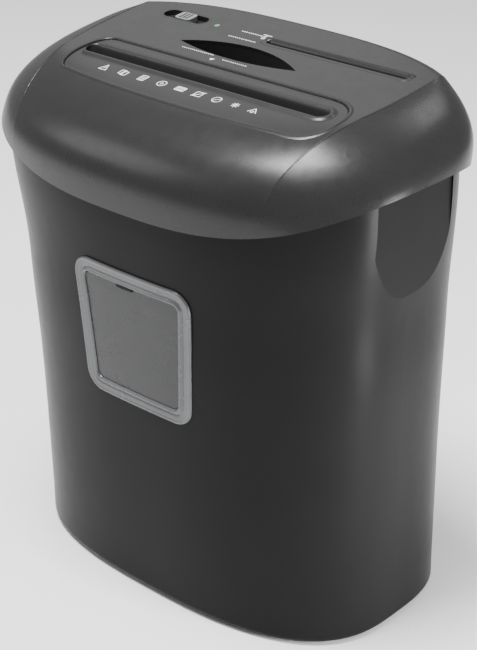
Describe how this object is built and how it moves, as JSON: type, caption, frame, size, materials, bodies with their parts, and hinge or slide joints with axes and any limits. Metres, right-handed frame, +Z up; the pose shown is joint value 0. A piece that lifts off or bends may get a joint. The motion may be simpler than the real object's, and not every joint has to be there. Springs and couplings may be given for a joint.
{
  "type": "paper shredder",
  "caption": "Paper shredder: lift-off cutting head with paper and disc slots, finger pocket and slide switch, on a flared waste bin with a front window.",
  "frame": {"origin": "middle of the footprint, on the surface the feet stand on", "axes": "+Z up, -Y the front with the window, +X the user's right when facing the window from the front seen from above"},
  "size_m": [0.3596, 0.215, 0.391],
  "materials": {
    "bin_shell": "satin moulded black plastic",
    "pad": "fine-textured dark plastic",
    "frame_grey": "silver-grey lacquered plastic",
    "pane": "smoke-tinted clear plastic",
    "button": "grey plastic",
    "lens": "clear green light pipe",
    "rubber_feet": "soft rubber",
    "inlet": "moulded grommet",
    "inner_plastic": "moulded plastic",
    "lever": "white acetal",
    "plates": "zinc-plated steel sheet",
    "steel": "ground steel",
    "screws": "zinc-plated steel",
    "spacer": "glass-filled nylon",
    "gears_white": "natural acetal",
    "gear_steel": "sintered steel",
    "motor": "grey enamelled steel",
    "fan": "black nylon",
    "board": "green laminate",
    "components": "moulded component bodies"
  },
  "bodies": {
    "bin": {"bin": "bin_shell", "feet": "rubber_feet", "window_frame": "frame_grey", "window_pane": "pane"},
    "head": {"head_cover": "bin_shell", "head_base": "bin_shell", "slot_pad": "pad", "handle_cup": "pad", "disc_slot_trim": "bin_shell", "switch_bezel": "pad", "switch_body": "inner_plastic", "indicator_lens": "lens", "cord_inlet": "inlet", "cover_screws": "screws", "interlock_switch": "inner_plastic", "bearing_plate_left": "plates", "bearing_plate_right": "plates", "disc_plate": "plates", "gear_studs": "steel", "tie_rods": "steel", "frame_screws": "screws", "shaft_bushes": "spacer", "stripper_comb_front": "inner_plastic", "stripper_comb_rear": "inner_plastic", "paper_guide_front": "inner_plastic", "paper_guide_rear": "inner_plastic", "disc_guide_front": "inner_plastic", "disc_guide_rear": "inner_plastic", "motor_body": "motor", "motor_strap": "plates", "thermal_cutout": "inner_plastic", "sensor_switch": "inner_plastic", "circuit_board": "board", "board_components": "components"},
    "cutter_front": {"cutter_shaft_front": "steel", "cutter_discs_front": "steel", "spacers_front": "spacer", "sync_gear_front": "gears_white"},
    "cutter_rear": {"cutter_shaft_rear": "steel", "cutter_discs_rear": "steel", "spacers_rear": "spacer", "sync_gear_rear": "gears_white", "final_gear": "gear_steel"},
    "disc_front": {"disc_shaft_front": "steel", "disc_blades_front": "steel", "disc_gear_front": "gears_white", "disc_pair_gear_front": "gears_white"},
    "disc_rear": {"disc_shaft_rear": "steel", "disc_blades_rear": "steel", "disc_pair_gear_rear": "gears_white"},
    "transfer": {"transfer_gear": "gears_white"},
    "reduction_one": {"gear_one": "gears_white"},
    "reduction_two": {"gear_two": "gears_white"},
    "rotor": {"motor_rotor": "steel", "motor_pinion": "gear_steel", "motor_fan": "fan"},
    "switch": {"switch_button": "button"},
    "sensor": {"sensor_lever": "lever"},
    "interlock": {"interlock_plunger": "inner_plastic"}
  },
  "joints": [
    {"name": "head_lift", "type": "slide", "parent": "bin", "child": "head", "axis": [0, 0, 1], "range_m": [0, 0.15]},
    {"name": "rotor_spin", "type": "hinge", "parent": "head", "child": "rotor", "pos_m": [0, 0.054, 0.322], "axis": [1, 0, 0], "continuous": true},
    {"name": "gear_one_spin", "type": "hinge", "parent": "head", "child": "reduction_one", "pos_m": [0, 0.03226, 0.31184], "axis": [1, 0, 0], "continuous": true},
    {"name": "gear_two_spin", "type": "hinge", "parent": "head", "child": "reduction_two", "pos_m": [0, 0.03072, 0.33679], "axis": [1, 0, 0], "continuous": true},
    {"name": "cutter_rear_spin", "type": "hinge", "parent": "head", "child": "cutter_rear", "pos_m": [0, -0.001, 0.322], "axis": [1, 0, 0], "continuous": true},
    {"name": "cutter_front_spin", "type": "hinge", "parent": "head", "child": "cutter_front", "pos_m": [0, -0.043, 0.322], "axis": [1, 0, 0], "continuous": true},
    {"name": "transfer_spin", "type": "hinge", "parent": "head", "child": "transfer", "pos_m": [0, 0.02459, 0.34036], "axis": [1, 0, 0], "continuous": true},
    {"name": "disc_front_spin", "type": "hinge", "parent": "head", "child": "disc_front", "pos_m": [0, 0.0376, 0.322], "axis": [1, 0, 0], "continuous": true},
    {"name": "disc_rear_spin", "type": "hinge", "parent": "head", "child": "disc_rear", "pos_m": [0, 0.0616, 0.322], "axis": [1, 0, 0], "continuous": true},
    {"name": "switch_slide", "type": "slide", "parent": "head", "child": "switch", "axis": [1, 0, 0], "range_m": [-0.006, 0.006]},
    {"name": "sensor_swing", "type": "hinge", "parent": "head", "child": "sensor", "pos_m": [0, -0.002, 0.36], "axis": [1, 0, 0], "range_deg": [0, 25], "stiffness_Nm_per_rad": 0.002, "springref_deg": -17.19},
    {"name": "interlock_press", "type": "slide", "parent": "head", "child": "interlock", "axis": [0, 0, 1], "range_m": [0, 0.0015], "stiffness_N_per_m": 200, "springref_m": -0.002}
  ],
  "couplings": [
    {"joint": "gear_one_spin", "follows": "rotor_spin", "ratio": -0.2},
    {"joint": "gear_two_spin", "follows": "rotor_spin", "ratio": 0.05},
    {"joint": "cutter_rear_spin", "follows": "rotor_spin", "ratio": -0.013636},
    {"joint": "cutter_front_spin", "follows": "rotor_spin", "ratio": 0.013636},
    {"joint": "transfer_spin", "follows": "rotor_spin", "ratio": 0.027273},
    {"joint": "disc_front_spin", "follows": "rotor_spin", "ratio": -0.023864},
    {"joint": "disc_rear_spin", "follows": "rotor_spin", "ratio": 0.023864}
  ]
}
